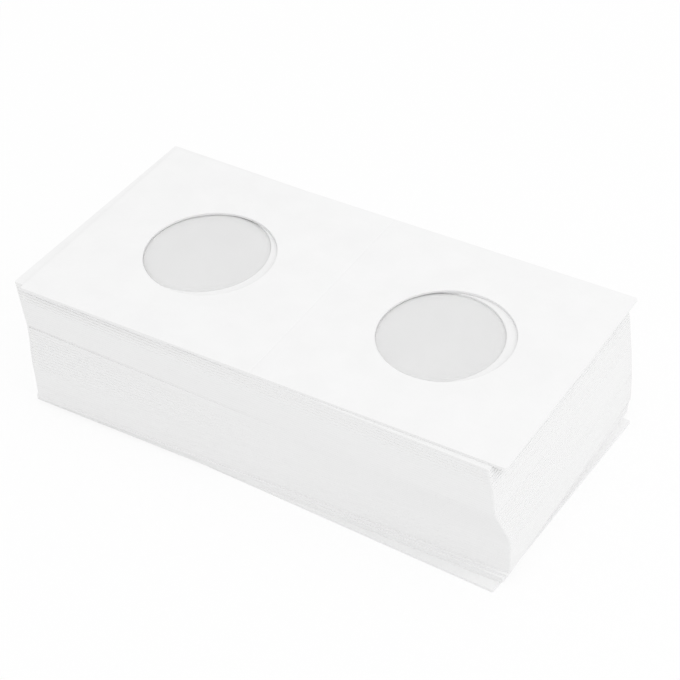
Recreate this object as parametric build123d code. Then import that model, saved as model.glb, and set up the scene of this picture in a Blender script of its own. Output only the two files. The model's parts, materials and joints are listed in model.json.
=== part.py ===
"""A loose pack of card coin flips, lying open one on another.

A flip is a strip of white card, two squares long, with a round window in each square. A clear film
covers the whole underside of the card, windows included, and a score across the middle of the upper
face lets the strip fold in half, downwards, with the film inside and a coin held between the windows.

The flips lie on each other with no gap, leaning and twisting a little as a loose pack does, and the
five lowest have turned out of line. The top flip is made as its two leaves, which meet at the score,
so that one can fold under the other once the flip is off the pack.

Millimetres, +Z up, +X along the flips. The origin is on the surface that the pack lies on, at the
middle of its outline. Level 1 is the top flip and level FLIP_COUNT is the lowest.
"""

import os
from math import sin

from build123d import *

# One flip
LEAF_SIDE = 50.0
CARD_THICKNESS = 0.50
FILM_THICKNESS = 0.05
WINDOW_DIAMETER = 25.0
SCORE_WIDTH = 0.50
SCORE_DEPTH = 0.10

FLIP_LENGTH = 2 * LEAF_SIDE
FLIP_THICKNESS = CARD_THICKNESS + FILM_THICKNESS

# The pack: single flips on top, an upper part that comes off as one, and the rest below it
FLIP_COUNT = 50
LAST_SINGLE_FLIP = 5
LAST_UPPER_FLIP = 19
# Windows inside the two parts of the pack are hidden, and have flat sides instead of a round wall
HIDDEN_WINDOW_SIDES = 24
# Middle of the top flip, from the middle of the pack's outline
TOP_FLIP_X = 0.77
TOP_FLIP_Y = 0.37

# Lean of the pack: the flips under the top one start out of line and come back with depth,
# which runs from 0 at the top flip to 1 at the lowest
START_SHIFT_X = -1.30
START_SHIFT_Y = -0.50
X_IN_LINE_DEPTH = 0.72
Y_IN_LINE_DEPTH = 0.45
# Slip of the first flips under the top one, which lie further out of line than the rest
SLIP_SHIFT_X = -0.70
SLIP_SHIFT_Y = 0.65
SLIP_TWIST = -0.15
SLIP_ENDS = 0.16
# Twist of the pack, in degrees: steady above and below, and turning over between two depths
UPPER_TWIST = -1.30
LOWER_TWIST = 1.25
TWIST_STARTS = 0.33
TWIST_ENDS = 0.69
# Unevenness of single flips: largest shift, largest turn in degrees, and the step of each wave
UNEVEN_SHIFT = 0.010
UNEVEN_TWIST = 0.008
UNEVEN_STEPS = (2.39, 3.71, 5.13)
# Flips that lie out of line with their neighbours: level to shift x, shift y and twist
OUT_OF_LINE = {
    19: (-0.64, -0.03, -1.40),
    46: (-0.20, 0.02, 1.20),
    47: (-0.25, -0.28, 0.92),
    48: (-0.45, -0.26, 0.26),
    49: (-0.50, -0.30, 0.22),
    50: (0.03, -0.37, -2.37),
}


def ramp(value, start, end):
    """0 up to start, 1 from end on, and straight between them."""
    return min(max((value - start) / (end - start), 0.0), 1.0)


def eased(value, start, end):
    """A ramp that starts and ends softly."""
    share = ramp(value, start, end)
    return share * share * (3.0 - 2.0 * share)


def lean(level):
    """Shift x, shift y and twist of the flip at a level, measured from the top flip."""
    if level == 1:
        return 0.0, 0.0, 0.0
    if level in OUT_OF_LINE:
        return OUT_OF_LINE[level]
    depth = (level - 1) / (FLIP_COUNT - 1)
    out_x = 1.0 - ramp(depth, 0.0, X_IN_LINE_DEPTH)
    out_y = 1.0 - ramp(depth, 0.0, Y_IN_LINE_DEPTH)
    slip = 1.0 - eased(depth, 0.0, SLIP_ENDS)
    turned = eased(depth, TWIST_STARTS, TWIST_ENDS)
    uneven_x, uneven_y, uneven_twist = (sin(level * step) for step in UNEVEN_STEPS)
    shift_x = START_SHIFT_X * out_x + SLIP_SHIFT_X * slip
    shift_y = START_SHIFT_Y * out_y + SLIP_SHIFT_Y * slip
    twist = UPPER_TWIST + (LOWER_TWIST - UPPER_TWIST) * turned + SLIP_TWIST * slip
    return (
        shift_x + UNEVEN_SHIFT * uneven_x,
        shift_y + UNEVEN_SHIFT * uneven_y,
        twist + UNEVEN_TWIST * uneven_twist,
    )


def place(level):
    """Carries a flip made at the origin to its level in the pack."""
    shift_x, shift_y, twist = lean(level)
    underside = (FLIP_COUNT - level) * FLIP_THICKNESS
    return Pos(TOP_FLIP_X + shift_x, TOP_FLIP_Y + shift_y, underside) * Rot(0, 0, twist)


def flip_film():
    """The film of a flip, under the whole of its card."""
    return extrude(Rectangle(FLIP_LENGTH, LEAF_SIDE), FILM_THICKNESS)


def flip_card(window):
    """The card of a flip: a strip with a window in each square, scored across its upper face."""
    windows = GridLocations(LEAF_SIDE, 0, 2, 1) * window
    strip = extrude(Rectangle(FLIP_LENGTH, LEAF_SIDE) - windows, CARD_THICKNESS)
    half_width = SCORE_WIDTH / 2
    groove_bottom = CARD_THICKNESS - SCORE_DEPTH
    groove = Polygon(
        (-half_width, CARD_THICKNESS), (0, groove_bottom), (half_width, CARD_THICKNESS), align=None
    )
    score = extrude(Plane.XZ * groove, LEAF_SIDE, both=True)
    return Pos(0, 0, FILM_THICKNESS) * (strip - score)


def write(name, shape):
    shape.label = name
    export_step(shape, f"parts/{name}.step")


def write_top_flip(card, film):
    """The top flip, parted at its score into a left and a right leaf, each with its half of the film."""
    for side, keep in (("left", Keep.BOTTOM), ("right", Keep.TOP)):
        write(f"top_flip_{side}_leaf", place(1) * split(card, Plane.YZ, keep))
        write(f"top_flip_{side}_film", place(1) * split(film, Plane.YZ, keep))


def write_films(name, film, levels):
    """The films of several levels, as separate solids in one node."""
    write(name, Compound(children=[place(level) * film for level in levels]))


def main():
    os.makedirs("parts", exist_ok=True)
    round_window_card = flip_card(Circle(WINDOW_DIAMETER / 2))
    hidden_window_card = flip_card(RegularPolygon(WINDOW_DIAMETER / 2, HIDDEN_WINDOW_SIDES))
    film = flip_film()

    write_top_flip(round_window_card, film)
    for level in range(2, LAST_SINGLE_FLIP + 1):
        write(f"flip_{level:02d}_card", place(level) * round_window_card)
        write(f"flip_{level:02d}_film", place(level) * film)
    for level in range(LAST_SINGLE_FLIP + 1, FLIP_COUNT + 1):
        write(f"flip_{level:02d}_card", place(level) * hidden_window_card)
    write_films("upper_pack_films", film, range(LAST_SINGLE_FLIP + 1, LAST_UPPER_FLIP + 1))
    write_films("lower_pack_films", film, range(LAST_UPPER_FLIP + 1, FLIP_COUNT + 1))


main()
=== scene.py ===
import json
import math

import bpy
import numpy as np
from mathutils import Matrix, Vector


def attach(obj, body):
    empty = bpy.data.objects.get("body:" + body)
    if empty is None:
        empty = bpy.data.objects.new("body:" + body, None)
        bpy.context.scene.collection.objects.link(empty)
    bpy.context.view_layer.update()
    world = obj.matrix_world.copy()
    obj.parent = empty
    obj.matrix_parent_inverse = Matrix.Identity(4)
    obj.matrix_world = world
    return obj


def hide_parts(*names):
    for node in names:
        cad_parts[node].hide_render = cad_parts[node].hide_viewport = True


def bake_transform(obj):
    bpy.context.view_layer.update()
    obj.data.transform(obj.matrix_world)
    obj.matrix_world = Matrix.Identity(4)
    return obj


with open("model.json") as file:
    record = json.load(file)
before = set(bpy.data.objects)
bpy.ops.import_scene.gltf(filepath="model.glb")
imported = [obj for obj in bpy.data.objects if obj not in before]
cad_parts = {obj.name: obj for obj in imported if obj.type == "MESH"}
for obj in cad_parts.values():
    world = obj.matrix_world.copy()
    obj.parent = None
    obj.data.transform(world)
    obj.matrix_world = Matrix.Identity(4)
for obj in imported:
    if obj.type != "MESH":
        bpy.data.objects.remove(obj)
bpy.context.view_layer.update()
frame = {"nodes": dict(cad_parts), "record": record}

mm = 0.001
bodies = frame["record"]["behaviour"]["bodies"]
bodyOfNode = {node: body for body, nodes in bodies.items() for node in nodes}


# Where a flip lies. A strip that is turned only a little has its four corners
# where the vertices reach furthest along the four diagonals.
def flipPlace(*nodes):
    points = []
    for node in nodes:
        vertices = frame["nodes"][node].data.vertices
        flat = np.empty(len(vertices) * 3)
        vertices.foreach_get("co", flat)
        points.append(flat.reshape(-1, 3))
    points = np.concatenate(points)
    diagonals = np.array([(-1, -1), (1, -1), (1, 1), (-1, 1)])
    corners = points[np.argmax(points[:, :2] @ diagonals.T, axis=0), :2]
    along = corners[1] - corners[0]
    across = corners[3] - corners[0]
    return {
        "middle": corners.mean(axis=0),
        "turn": math.atan2(along[1], along[0]),
        "halfLength": np.linalg.norm(along) / 2,
        "halfWidth": np.linalg.norm(across) / 2,
        "low": points[:, 2].min(),
        "high": points[:, 2].max(),
    }


# Turns and moves points made about the middle of a flip, z up from low, to the flip's place
def settle(points, place, low):
    cos, sin = math.cos(place["turn"]), math.sin(place["turn"])
    x = cos * points[:, 0] - sin * points[:, 1] + place["middle"][0]
    y = sin * points[:, 0] + cos * points[:, 1] + place["middle"][1]
    return np.column_stack((x, y, points[:, 2] + low))


# Faces that meet at more than the sharp angle, in degrees, are shaded apart
def addPiece(name, points, quads, material, marks=None, sharpAngle=60):
    mesh = bpy.data.meshes.new(name)
    mesh.from_pydata(points.tolist(), [], quads.tolist())
    mesh.shade_smooth()
    mesh.set_sharp_from_angle(angle=math.radians(sharpAngle))
    for label, values in (marks or {}).items():
        mesh.attributes.new(label, "FLOAT", "POINT").data.foreach_set("value", values)
    mesh.materials.append(material)
    piece = bpy.data.objects.new(name, mesh)
    bpy.context.scene.collection.objects.link(piece)
    return piece


# Node groups and materials

def newGroup(name, inputs, outputs):
    group = bpy.data.node_groups.new(name, "ShaderNodeTree")
    for label, kind, value in inputs:
        group.interface.new_socket(label, in_out="INPUT", socket_type=kind).default_value = value
    for label, kind in outputs:
        group.interface.new_socket(label, in_out="OUTPUT", socket_type=kind)
    return group, group.nodes.new("NodeGroupInput").outputs, group.nodes.new("NodeGroupOutput").inputs


# A socket takes a link from another node, or a plain value
def feed(tree, socket, value):
    if isinstance(value, bpy.types.NodeSocket):
        tree.links.new(value, socket)
    else:
        socket.default_value = value


def addNode(tree, kind, settings=None, **values):
    node = tree.nodes.new(kind)
    for label, value in (settings or {}).items():
        setattr(node, label, value)
    for label, value in values.items():
        feed(tree, node.inputs[label.replace("_", " ")], value)
    return node


def addGroup(tree, group, **values):
    return addNode(tree, "ShaderNodeGroup", {"node_tree": group}, **values).outputs


# Noise on object coordinates, stretched by a scale for each axis
def addNoise(tree, scale, stretch=(1, 1, 1), **values):
    coords = addNode(tree, "ShaderNodeTexCoord").outputs["Object"]
    mapped = addNode(tree, "ShaderNodeMapping", Vector=coords, Scale=stretch).outputs["Vector"]
    return addNode(tree, "ShaderNodeTexNoise", Vector=mapped, Scale=scale, **values).outputs["Fac"]


def addRange(tree, value, low, high, fromLow=0.3, fromHigh=0.7):
    node = addNode(tree, "ShaderNodeMapRange", Value=value, From_Min=fromLow, From_Max=fromHigh,
                   To_Min=low, To_Max=high)
    return node.outputs["Result"]


def addMath(tree, operation, first, second):
    node = addNode(tree, "ShaderNodeMath", {"operation": operation})
    feed(tree, node.inputs[0], first)
    feed(tree, node.inputs[1], second)
    return node.outputs[0]


def addColourMix(tree, blend, factor, first, second):
    node = addNode(tree, "ShaderNodeMix", {"data_type": "RGBA", "blend_type": blend})
    for index, value in ((0, factor), (6, first), (7, second)):    # the colour sockets of a Mix node
        feed(tree, node.inputs[index], value)
    return node.outputs[2]


fibre = {
    "noise": {"stretch": (0.4, 1, 1), "Detail": 4, "Roughness": 0.65, "Distortion": 0.6},
    "shade": (0.985, 1.0),
    "roughness": (0.72, 0.9),
}
cloud = {"noise": {"Detail": 3, "Roughness": 0.5}, "shade": (0.965, 1.0), "heightShare": 0.5}


# Card face: fine fibres that run along the strip, and the soft clouds of an uneven sheet
def makeFibreSheet():
    group, given, result = newGroup(
        "fibreSheet",
        [
            ("Colour", "NodeSocketColor", (0.9, 0.9, 0.9, 1)),
            ("Fibre Scale", "NodeSocketFloat", 4000),
            ("Cloud Scale", "NodeSocketFloat", 200),
            ("Cloud Depth", "NodeSocketFloat", 0.5),
        ],
        [("Colour", "NodeSocketColor"), ("Roughness", "NodeSocketFloat"), ("Height", "NodeSocketFloat")],
    )
    fibres = addNoise(group, given["Fibre Scale"], **fibre["noise"])
    clouds = addNoise(group, given["Cloud Scale"], **cloud["noise"])
    shade = addRange(group, clouds, *cloud["shade"])
    shade = addMath(group, "MULTIPLY", shade, addRange(group, fibres, *fibre["shade"]))
    colour = addColourMix(group, "MULTIPLY", given["Cloud Depth"], given["Colour"], shade)
    height = addMath(group, "ADD", fibres, addMath(group, "MULTIPLY", clouds, cloud["heightShare"]))
    group.links.new(colour, result["Colour"])
    group.links.new(addRange(group, fibres, *fibre["roughness"]), result["Roughness"])
    group.links.new(height, result["Height"])
    return group


ply = {"noise": {"stretch": (160, 160, 9000), "Detail": 3, "Roughness": 0.6}, "shade": (0.985, 1.0)}


# Cut edge of a card: streaks of its plies along the edge, and a tone of its own for each card. The cut
# colour, darker than the face, is painted shade on the stack's sides
def makeCutEdge():
    group, given, result = newGroup(
        "cutEdge",
        [
            ("Colour", "NodeSocketColor", (0.9, 0.9, 0.9, 1)),
            ("Cut Colour", "NodeSocketColor", (0.88, 0.88, 0.87, 1)),
            ("Cut", "NodeSocketFloat", 0),
            ("Tone", "NodeSocketFloat", 0),
            ("Tone Depth", "NodeSocketFloat", 0.04),
        ],
        [("Colour", "NodeSocketColor"), ("Height", "NodeSocketFloat")],
    )
    plies = addNoise(group, 1, **ply["noise"])
    shade = addRange(group, plies, *ply["shade"])
    shade = addMath(group, "ADD", shade, addMath(group, "MULTIPLY", given["Tone"], given["Tone Depth"]))
    # painted shade: the cut walls take the cut colour, darker than the face
    shadedCutColour = addColourMix(group, "MULTIPLY", 1, given["Cut Colour"], shade)
    group.links.new(addColourMix(group, "MIX", given["Cut"], given["Colour"], shadedCutColour), result["Colour"])
    group.links.new(addMath(group, "MULTIPLY", plies, given["Cut"]), result["Height"])
    return group


waver = {"noise": {"stretch": (1, 0.35, 1), "Detail": 2}, "shade": (0.97, 1.0)}
rub = {
    "scale": 900,
    "noise": {"stretch": (0.15, 1, 1), "Detail": 4, "Roughness": 0.7},
    "between": (0.45, 0.75),
    "roughness": (0.0, 0.12),
    "heightShare": 0.05,
}


# Clear film: a slow waver from the laminating roll, and faint rubbed streaks
def makeFilmWaver():
    group, given, result = newGroup(
        "filmWaver",
        [
            ("Colour", "NodeSocketColor", (0.8, 0.8, 0.8, 1)),
            ("Waver Scale", "NodeSocketFloat", 90),
            ("Gloss", "NodeSocketFloat", 0.12),
        ],
        [("Colour", "NodeSocketColor"), ("Roughness", "NodeSocketFloat"), ("Height", "NodeSocketFloat")],
    )
    waves = addNoise(group, given["Waver Scale"], **waver["noise"])
    streaks = addNoise(group, rub["scale"], **rub["noise"])
    colour = addColourMix(group, "MULTIPLY", 1, given["Colour"], addRange(group, waves, *waver["shade"]))
    dulled = addRange(group, streaks, *rub["roughness"], *rub["between"])
    rough = addMath(group, "ADD", given["Gloss"], dulled)
    height = addMath(group, "ADD", waves, addMath(group, "MULTIPLY", streaks, rub["heightShare"]))
    group.links.new(colour, result["Colour"])
    group.links.new(rough, result["Roughness"])
    group.links.new(height, result["Height"])
    return group


fibreSheet = makeFibreSheet()
cutEdge = makeCutEdge()
filmWaver = makeFilmWaver()

# The cut colour, darker than the face, is painted shade on the cut walls that form the stack's sides
topCardFinish = {
    "face": (0.925, 0.925, 0.925, 1), "cut": (0.888, 0.888, 0.888, 1), "fibreScale": 3800, "cloudScale": 170,
    "cloudDepth": 0.6, "toneDepth": 0.0, "bump": 0.10, "bumpDepth": 0.02 * mm, "specular": 0.25,
}
packCardFinish = {**topCardFinish, "face": (0.92, 0.92, 0.92, 1), "toneDepth": 0.004}
# One film alone is clear, each one further down in the pack hides more of what is below it, and a film
# shows white where it is cut. The packs' films are an opaque grey: painted shade of the deep stack of clear
# films
clearFilmFinish = {
    "colour": (0.97, 0.97, 0.97, 1), "alpha": 0.06, "gloss": 0.10, "waverScale": 80, "bump": 0.03,
    "bumpDepth": 0.05 * mm,
}
innerFilmFinish = {**clearFilmFinish, "alpha": 0.73, "gloss": 0.12}
greyShadeFilmFinish = {**clearFilmFinish, "colour": (0.76, 0.76, 0.76, 1), "alpha": 1.0, "gloss": 0.14}
cutFilmFinish = {**greyShadeFilmFinish, "colour": (0.915, 0.915, 0.915, 1)}


def newMaterial(name):
    material = bpy.data.materials.new(name)
    material.use_nodes = True
    return material, material.node_tree, material.node_tree.nodes["Principled BSDF"]


def makeCard(name, finish):
    material, tree, shader = newMaterial(name)
    cut = addNode(tree, "ShaderNodeAttribute", {"attribute_name": "cut"}).outputs["Fac"]
    tone = addNode(tree, "ShaderNodeAttribute", {"attribute_name": "tone"}).outputs["Fac"]
    sheet = addGroup(tree, fibreSheet, Colour=finish["face"], Fibre_Scale=finish["fibreScale"],
                     Cloud_Scale=finish["cloudScale"], Cloud_Depth=finish["cloudDepth"])
    edge = addGroup(tree, cutEdge, Colour=sheet["Colour"], Cut_Colour=finish["cut"], Cut=cut, Tone=tone,
                    Tone_Depth=finish["toneDepth"])
    height = addMath(tree, "ADD", sheet["Height"], edge["Height"])
    bump = addNode(tree, "ShaderNodeBump", Strength=finish["bump"], Distance=finish["bumpDepth"],
                   Height=height)
    tree.links.new(edge["Colour"], shader.inputs["Base Color"])
    tree.links.new(sheet["Roughness"], shader.inputs["Roughness"])
    tree.links.new(bump.outputs["Normal"], shader.inputs["Normal"])
    shader.inputs["Specular IOR Level"].default_value = finish["specular"]
    return material


def makeFilm(name, finish):
    material, tree, shader = newMaterial(name)
    sheet = addGroup(tree, filmWaver, Colour=finish["colour"], Waver_Scale=finish["waverScale"],
                     Gloss=finish["gloss"])
    bump = addNode(tree, "ShaderNodeBump", Strength=finish["bump"], Distance=finish["bumpDepth"],
                   Height=sheet["Height"])
    tree.links.new(sheet["Colour"], shader.inputs["Base Color"])
    tree.links.new(sheet["Roughness"], shader.inputs["Roughness"])
    tree.links.new(bump.outputs["Normal"], shader.inputs["Normal"])
    shader.inputs["Alpha"].default_value = finish["alpha"]
    return material


topCardMaterial = makeCard("topCard", topCardFinish)
packCardMaterial = makeCard("packCard", packCardFinish)
clearFilmMaterial = makeFilm("clearFilm", clearFilmFinish)
innerFilmMaterial = makeFilm("innerFilm", innerFilmFinish)
greyShadeFilmMaterial = makeFilm("packFilm", greyShadeFilmFinish)
cutFilmMaterial = makeFilm("cutFilm", cutFilmFinish)
print("materials: card and film finishes ready")


# Cards

card = {
    "windowRadius": 12.5 * mm,
    "rimRound": 0.10 * mm,        # of the windows' upper rims, where the punch goes in
    "edgeRound": 0.012 * mm,      # of the other cut edges
    "cornerRound": 0.30 * mm,     # of the strip's corners, seen from above
    "scoreHalfWidth": 0.25 * mm,
    "scoreDepth": 0.05 * mm,
    "play": 0.002 * mm,           # left between a card and the films it lies between
    "weld": 0.0001 * mm,
    "sharpAngle": 10,             # keeps the thin cut wall from being shaded with the faces beside it
}
touch = 1e-9                      # how near to 1 the outline of a unit square counts as reached
cornerPull = 1 - math.sqrt(0.5)   # a corner's vertex is drawn in by this share of the corner's round
fineGrid = {"side": 24, "arc": (0, 30, 60, 90), "face": (0.02, 0.12, 0.35, 0.6, 0.85, 0.97),
            "near": (2.0, 1.5, 1.0, 0.7, 0.4)}
packGrid = {"side": 10, "arc": (0, 45, 90), "face": (0.05, 0.5, 0.95), "near": (1.0,)}


# Rings of one leaf, as a closed profile from the window's lower rim, over the face, round the outer edge
# and back along the underside. A ring is (share of square, radius, half side, z, z at the score, cut).
# Quarter rounds: out = r (1 - sin a), down = r (1 - cos a). Score: z = t - depth (1 + cos(pi d / w)) / 2.
def leafRings(grid, halfSide, thickness):
    radius, rim, edge = card["windowRadius"], card["rimRound"], card["edgeRound"]
    width, depth = card["scoreHalfWidth"], card["scoreDepth"]
    arc = np.radians(grid["arc"])
    arcOut, arcDown = 1 - np.sin(arc), 1 - np.cos(arc)

    def scored(inset):
        return thickness - depth * (1 + np.cos(np.pi * np.minimum(inset / width, 1))) / 2

    rings = []
    for out, down in zip(arcOut, arcDown):
        rings.append((0, radius + edge * out, halfSide, edge * down, edge * down, down))
    for out, down in zip(arcOut[::-1], arcDown[::-1]):
        z = thickness - rim * down
        rings.append((0, radius + rim * out, halfSide, z, z, down))
    inner = halfSide - width * max(grid["near"])
    for share in grid["face"]:
        rings.append((share, radius + rim, inner, thickness, thickness, 0))
    for near in grid["near"]:
        rings.append((1, radius, halfSide - width * near, thickness, scored(width * near), 0))
    for out, down in zip(arcOut, arcDown):
        rings.append((1, radius, halfSide - edge * out, thickness - edge * down, scored(edge * out), down))
    wall = len(rings) - 1
    for out, down in zip(arcOut[::-1], arcDown[::-1]):
        rings.append((1, radius, halfSide - edge * out, edge * down, 0, down))
    for near in grid["near"][::-1]:
        rings.append((1, radius, halfSide - width * near, 0, 0, 0))
    for share in grid["face"][::-1]:
        rings.append((share, radius + rim, inner, 0, 0, 0))
    return np.array(rings, dtype=float), wall


# One leaf about its window, with its score side towards +x. A point of a ring is
# (1 - share) radius dir + share halfSide square, where square = dir / max(|dx|, |dy|). The score runs out
# at the strip's long edges.
def leafSurface(grid, halfSide, thickness):
    rings, wall = leafRings(grid, halfSide, thickness)
    corner = card["cornerRound"] / halfSide
    steps = np.tan(np.linspace(-np.pi / 4, np.pi / 4, grid["side"] + 1))[1:-1]
    steps = np.concatenate(([-1, -1 + corner], steps, [1 - corner]))
    ones = np.ones_like(steps)
    square = np.concatenate([
        np.column_stack((ones, steps)), np.column_stack((-steps, ones)),
        np.column_stack((-ones, -steps)), np.column_stack((steps, -ones)),
    ])
    direction = square / np.linalg.norm(square, axis=1, keepdims=True)
    onScore = square[:, 0] > 1 - touch
    onCorner = np.abs(square).min(axis=1) > 1 - touch
    freeCorner = onCorner & ~onScore
    square = square * np.where(freeCorner, 1 - cornerPull * corner, 1)[:, None]

    share, radius, side, z, zScore, cut = (column[:, None] for column in rings.T)
    onRim, onSquare = (1 - share) * radius, share * side
    flat = onRim[..., None] * direction + onSquare[..., None] * square
    height = np.where(onScore & ~onCorner, zScore, z)
    points = np.concatenate((flat, height[..., None]), axis=2)
    marks = np.broadcast_to(cut, height.shape)

    ringCount, columnCount = height.shape
    ring, column = np.meshgrid(np.arange(ringCount), np.arange(columnCount), indexing="ij")
    nextRing, nextColumn = (ring + 1) % ringCount, (column + 1) % columnCount
    quads = np.stack((
        ring * columnCount + column, nextRing * columnCount + column,
        nextRing * columnCount + nextColumn, ring * columnCount + nextColumn,
    ), axis=2)
    inside = (ring == wall) & onScore[column] & onScore[nextColumn]
    return points.reshape(-1, 3), quads[~inside], marks.ravel()


# A whole card: the leaf, its mirror image, and the two welded where they meet at the score
def cardSurface(grid, place):
    thickness = place["high"] - place["low"] - 2 * card["play"]
    halfSide = place["halfLength"] / 2
    leaf, quads, cut = leafSurface(grid, halfSide, thickness)
    left = leaf - (halfSide, 0, 0)
    points = np.concatenate((left, left * (-1, 1, 1)))
    quads = np.concatenate((quads, quads[:, ::-1] + len(leaf)))
    cut = np.concatenate((cut, cut))
    keys = np.round(points / card["weld"]).astype(np.int64)
    first, index = np.unique(keys, axis=0, return_index=True, return_inverse=True)[1:]
    return points[first], index.reshape(-1)[quads], cut[first]


def addCard(name, nodes, grid, material, tone):
    place = flipPlace(*nodes)
    points, quads, cut = cardSurface(grid, place)
    points = settle(points, place, place["low"] + card["play"])
    marks = {"cut": cut, "tone": np.full(len(points), tone)}
    piece = addPiece(name, points, quads, material, marks, card["sharpAngle"])
    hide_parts(*nodes)
    return piece, place


# Films

film = {
    "thickness": 0.05 * mm,
    "inset": 0.004 * mm,          # the film's edge lies back a little from the card's
    "topPuff": 0.25 * mm,         # how far a film stands up in the window it closes
    "innerPuff": 0.47 * mm,
    "packPuff": 0.0 * mm,
    "fullness": 26,
    "uneven": 0.1,
    "fineStep": 0.5 * mm,
    "packStep": 12.5 * mm,
    "foldStep": 0.10 * mm,        # between columns at the fold of the top flip
    "foldHalfWidth": 0.60 * mm,
    "digits": 9,                  # of a grid line's place, so that lines which meet count once
}


# A film as two grids, upper and lower, joined round their edge. It lies flat where the card holds it, and in
# a window of radius R it stands up by puff (1 - u^fullness) (1 - uneven u^3 (1 + sin 3a)), with u = r / R.
def filmSurface(place, step, puff, foldColumns=()):
    corner = card["cornerRound"]

    def gridLines(half, extra=()):
        even = np.linspace(-half, half, 2 * round(half / step) + 1)
        lines = np.concatenate((even, (corner - half, half - corner), extra))
        return np.unique(np.round(lines, film["digits"]))

    halfLength, halfWidth = place["halfLength"] - film["inset"], place["halfWidth"] - film["inset"]
    x, y = np.meshgrid(gridLines(halfLength, foldColumns), gridLines(halfWidth), indexing="ij")
    ends = np.ix_((0, -1), (0, -1))
    x[ends] -= np.sign(x[ends]) * cornerPull * corner
    y[ends] -= np.sign(y[ends]) * cornerPull * corner
    fromWindow = np.abs(x) - place["halfLength"] / 2
    out = np.minimum(np.hypot(fromWindow, y) / card["windowRadius"], 1)
    sag = film["uneven"] * out ** 3 * (1 + np.sin(3 * np.arctan2(y, fromWindow)))
    rise = puff * (1 - out ** film["fullness"]) * (1 - sag)
    upper = np.stack((x, y, rise + film["thickness"]), axis=2)
    lower = np.stack((x, y, rise), axis=2)
    index = np.arange(x.size).reshape(x.shape)
    under = index + x.size

    def strip(a, b):
        return np.stack((a[:-1], a[1:], b[1:], b[:-1]), axis=-1).reshape(-1, 4)

    top = np.stack((index[:-1, :-1], index[1:, :-1], index[1:, 1:], index[:-1, 1:]), axis=-1).reshape(-1, 4)
    walls = [
        strip(under[:, 0], index[:, 0]), strip(index[:, -1], under[:, -1]),
        strip(index[0], under[0]), strip(under[-1], index[-1]),
    ]
    quads = np.concatenate([top, top[:, ::-1] + x.size] + walls)
    onEdge = np.arange(len(quads)) >= 2 * len(top)
    return np.concatenate((upper.reshape(-1, 3), lower.reshape(-1, 3))), quads, onEdge


def addFilms(name, nodes, places, step, puff, material, foldColumns=()):
    points, quads, onEdge = [], [], []
    for place in places:
        surface, faces, edge = filmSurface(place, step, puff, foldColumns)
        quads.append(faces + sum(map(len, points)))
        points.append(settle(surface, place, place["low"] - film["thickness"]))
        onEdge.append(edge)
    piece = addPiece(name, np.concatenate(points), np.concatenate(quads), material)
    piece.data.materials.append(cutFilmMaterial)
    piece.data.polygons.foreach_set("material_index", np.concatenate(onEdge).astype(np.int32))
    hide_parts(*nodes)
    return piece


# The top flip bends at its score, so its card and film run across the hinge in one piece
halfFold = film["foldHalfWidth"]
foldColumns = np.arange(-halfFold, halfFold + film["foldStep"] / 2, film["foldStep"])
topCard, topPlace = addCard(
    "topFlipCard", ("top_flip_left_leaf", "top_flip_right_leaf"), fineGrid, topCardMaterial, 0.0)
topFilm = addFilms("topFlipFilm", ("top_flip_left_film", "top_flip_right_film"), [topPlace], film["fineStep"],
                   film["topPuff"], clearFilmMaterial, foldColumns)
for piece in (topCard, topFilm):
    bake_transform(piece)
print("top flip:", len(topCard.data.polygons), "card faces,", len(topFilm.data.polygons), "film faces")

toneSeed = 19
rng = np.random.default_rng(toneSeed)
packPlaces = {}
for node in sorted(name for name in frame["nodes"] if name.endswith("_card")):
    body = bodyOfNode[node]
    single = not body.endswith("_pack")
    grid = fineGrid if single else packGrid
    pieceName = node.split("_card")[0].replace("_", "") + "Card"
    piece, place = addCard(pieceName, (node,), grid, packCardMaterial, rng.uniform(-1, 1))
    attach(piece, body)
    if single:
        sheet = addFilms(body.replace("_", "") + "Film", (body + "_film",), [place], film["fineStep"],
                         film["innerPuff"], innerFilmMaterial)
        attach(sheet, body)
    else:
        packPlaces.setdefault(body, []).append(place)
# The packs' films are opaque grey: painted shade of the deep stack of clear films in the windows
for body, places in packPlaces.items():
    sheets = addFilms(body.split("_")[0] + "PackFilms", (body + "_films",), places, film["packStep"],
                      film["packPuff"], greyShadeFilmMaterial)
    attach(sheets, body)
print("pack:", {body: len(places) for body, places in packPlaces.items()})


# Floor, light and camera

floor = {"half": 3.0, "below": 0.02 * mm, "colour": (0.95, 0.95, 0.95, 1), "whiteShare": 0.88}
studio = {
    "world": 0.937,
    "key": {"place": (0.55, -0.05, 0.55), "size": 0.5, "power": 0.765},
    "clearBounces": 32,           # enough for a ray to pass all the films that it can see through
}
photoCamera = {
    "azimuth": 33.531, "elevation": 39.856, "roll": -3.36, "distance": 368.61 * mm, "lens": 108.42,
    "aimRight": 2.757 * mm, "aimUp": -8.519 * mm,   # from the middle of the top face, in the picture's plane
}


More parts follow.
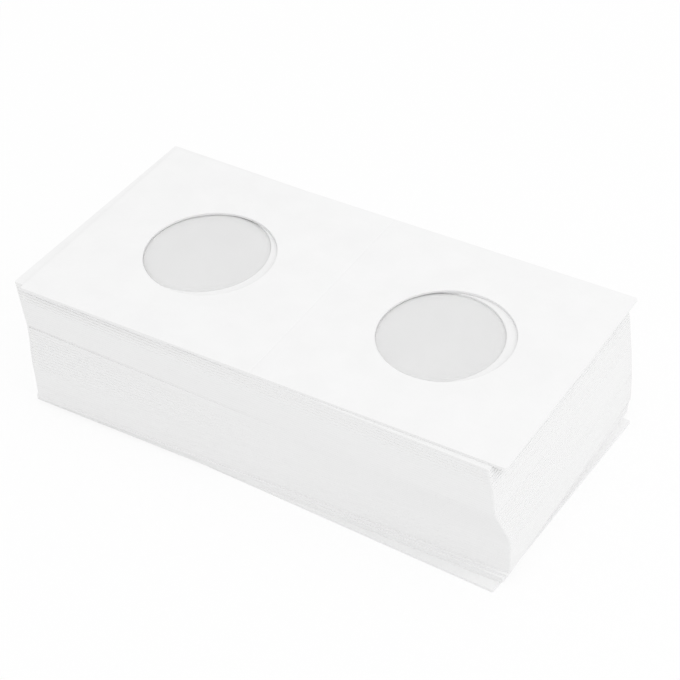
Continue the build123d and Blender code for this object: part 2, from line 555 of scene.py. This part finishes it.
def addFloor():
    half = floor["half"]
    points = np.array([(-half, -half, 0), (half, -half, 0), (half, half, 0), (-half, half, 0)])
    material, tree, shader = newMaterial("paleFloor")
    tree.nodes.remove(shader)
    rays = tree.nodes.new("ShaderNodeLightPath").outputs
    seen = addMath(tree, "MAXIMUM", rays["Is Camera Ray"], rays["Is Glossy Ray"])
    seen = addMath(tree, "MAXIMUM", seen, rays["Is Transmission Ray"])
    matt = addNode(tree, "ShaderNodeBsdfDiffuse", Color=floor["colour"])
    white = addNode(tree, "ShaderNodeEmission", Strength=1)
    mixed = tree.nodes.new("ShaderNodeMixShader")
    tree.links.new(addMath(tree, "MULTIPLY", seen, floor["whiteShare"]), mixed.inputs[0])
    tree.links.new(matt.outputs[0], mixed.inputs[1])
    tree.links.new(white.outputs[0], mixed.inputs[2])
    tree.links.new(mixed.outputs[0], tree.nodes["Material Output"].inputs["Surface"])
    addPiece("paleFloor", points - (0, 0, floor["below"]), np.array([(0, 1, 2, 3)]), material)


def addLight():
    world = bpy.data.worlds.new("studio")
    bpy.context.scene.world = world
    world.use_nodes = True
    tree = world.node_tree
    rays = tree.nodes.new("ShaderNodeLightPath").outputs
    strength = addNode(tree, "ShaderNodeMix", {"data_type": "FLOAT"})
    for index, value in ((0, rays["Is Camera Ray"]), (2, studio["world"]), (3, 1)):    # its plain sockets
        feed(tree, strength.inputs[index], value)
    background = tree.nodes["Background"]
    background.inputs["Color"].default_value = (1, 1, 1, 1)
    tree.links.new(strength.outputs[0], background.inputs["Strength"])
    key = studio["key"]
    lamp = bpy.data.lights.new("key", "AREA")
    lamp.size = key["size"]
    lamp.energy = key["power"]
    light = bpy.data.objects.new("key", lamp)
    light.location = key["place"]
    light.rotation_euler = (-Vector(key["place"])).to_track_quat("-Z", "Y").to_euler()
    bpy.context.scene.collection.objects.link(light)


# The camera looks along -back. Roll turns its right and up about that line.
def addCamera():
    azimuth, elevation, roll = (math.radians(photoCamera[k]) for k in ("azimuth", "elevation", "roll"))
    back = Vector((math.sin(azimuth) * math.cos(elevation), -math.cos(azimuth) * math.cos(elevation),
                   math.sin(elevation)))
    level = Vector((0, 0, 1)).cross(back).normalized()
    rise = back.cross(level)
    right = math.cos(roll) * level + math.sin(roll) * rise
    up = math.cos(roll) * rise - math.sin(roll) * level
    aim = Vector((*topPlace["middle"], topPlace["high"]))
    aim += photoCamera["aimRight"] * right + photoCamera["aimUp"] * up
    lens = bpy.data.cameras.new("photoCamera")
    lens.lens = photoCamera["lens"]
    camera = bpy.data.objects.new("photoCamera", lens)
    turn = Matrix((right, up, back)).transposed().to_4x4()
    camera.matrix_world = Matrix.Translation(aim + photoCamera["distance"] * back) @ turn
    bpy.context.scene.collection.objects.link(camera)
    bpy.context.scene.camera = camera


addFloor()
addLight()
addCamera()
bpy.context.scene.view_settings.view_transform = "Standard"
bpy.context.scene.cycles.transparent_max_bounces = studio["clearBounces"]
print("stage: floor, light and camera set")
